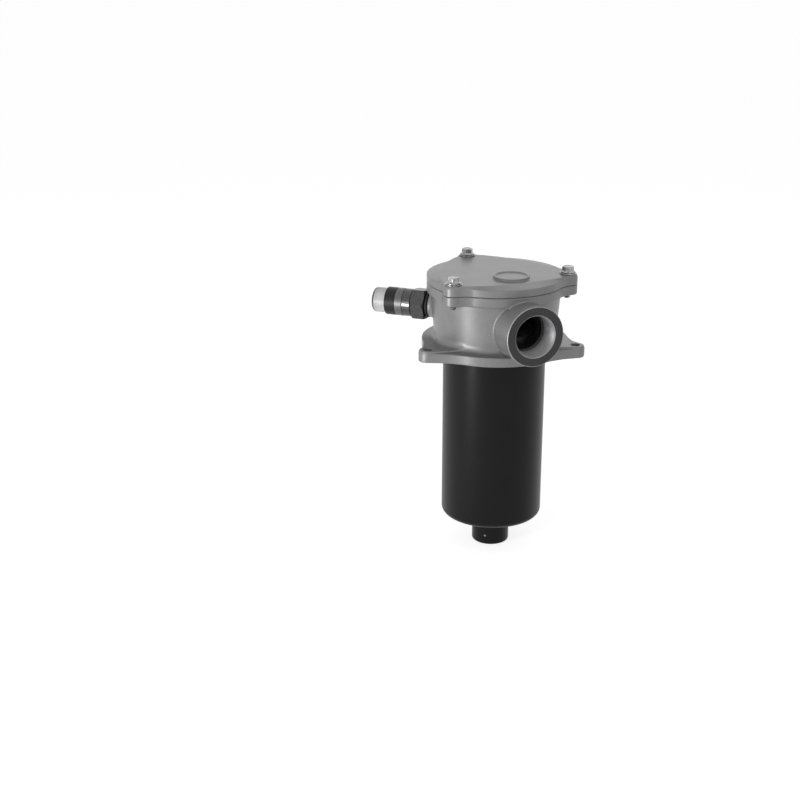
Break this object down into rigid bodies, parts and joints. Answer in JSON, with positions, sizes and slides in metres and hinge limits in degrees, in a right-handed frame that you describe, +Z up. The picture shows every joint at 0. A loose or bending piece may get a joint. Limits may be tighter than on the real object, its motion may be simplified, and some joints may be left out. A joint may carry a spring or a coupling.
{
  "type": "flange-mounted return filter",
  "caption": "Tank-top hydraulic return filter: cast head with eared flange and threaded inlet, black bowl with outlet spigot, pleated element, bypass valve and clogging indicator.",
  "frame": {"origin": "on the bowl's axis, in the plane of the mounting flange's underside", "axes": "+Z up along the bowl's axis to the cover, -Y out of the inlet port"},
  "size_m": [0.1712, 0.1796, 0.2876],
  "materials": {
    "cast_aluminium": "satin casting",
    "black_nylon": "satin",
    "bright_zinc": "bright zinc plating",
    "black_rubber": "matt",
    "tinned_sheet": "tinned",
    "filter_paper": "matt",
    "spring_steel": "drawn wire",
    "dark_steel": "dark plating",
    "grey_band": "satin",
    "clear_plastic": "clear moulding",
    "turned_brass": "turned"
  },
  "bodies": {
    "filter": {"filter_head": "cast_aluminium", "head_cover": "cast_aluminium", "cover_seal": "black_rubber", "cover_bolt_1": "bright_zinc", "cover_bolt_2": "bright_zinc", "cover_bolt_3": "bright_zinc", "cover_washer_1": "bright_zinc", "cover_washer_2": "bright_zinc", "cover_washer_3": "bright_zinc", "filter_bowl": "black_nylon", "bowl_seal": "black_rubber", "spigot_pin": "bright_zinc", "flange_seal": "black_rubber", "element_top_cap": "tinned_sheet", "element_bottom_cap": "black_nylon", "pleated_media": "filter_paper", "element_core": "tinned_sheet", "element_seal": "black_rubber", "hold_down_spring": "spring_steel", "bypass_seat": "tinned_sheet", "bypass_cage": "tinned_sheet", "bypass_spring": "spring_steel", "indicator_seal": "black_rubber", "indicator_body": "dark_steel", "indicator_band": "grey_band", "indicator_screw": "dark_steel", "indicator_collar": "black_rubber", "indicator_cap": "clear_plastic", "indicator_spring": "spring_steel", "indicator_retainer": "tinned_sheet"},
    "bypass": {"bypass_poppet": "turned_brass"},
    "indicator": {"indicator_piston": "turned_brass"}
  },
  "joints": [
    {"name": "bypass_open", "type": "slide", "parent": "filter", "child": "bypass", "axis": [0, 0, -1], "range_m": [0, 0.005], "stiffness_N_per_m": 2000, "deforming": ["bypass_spring"]},
    {"name": "indicator_rise", "type": "slide", "parent": "filter", "child": "indicator", "axis": [-0.7431, 0.6691, 0], "range_m": [0, 0.003], "stiffness_N_per_m": 1500, "deforming": ["indicator_spring"]}
  ]
}
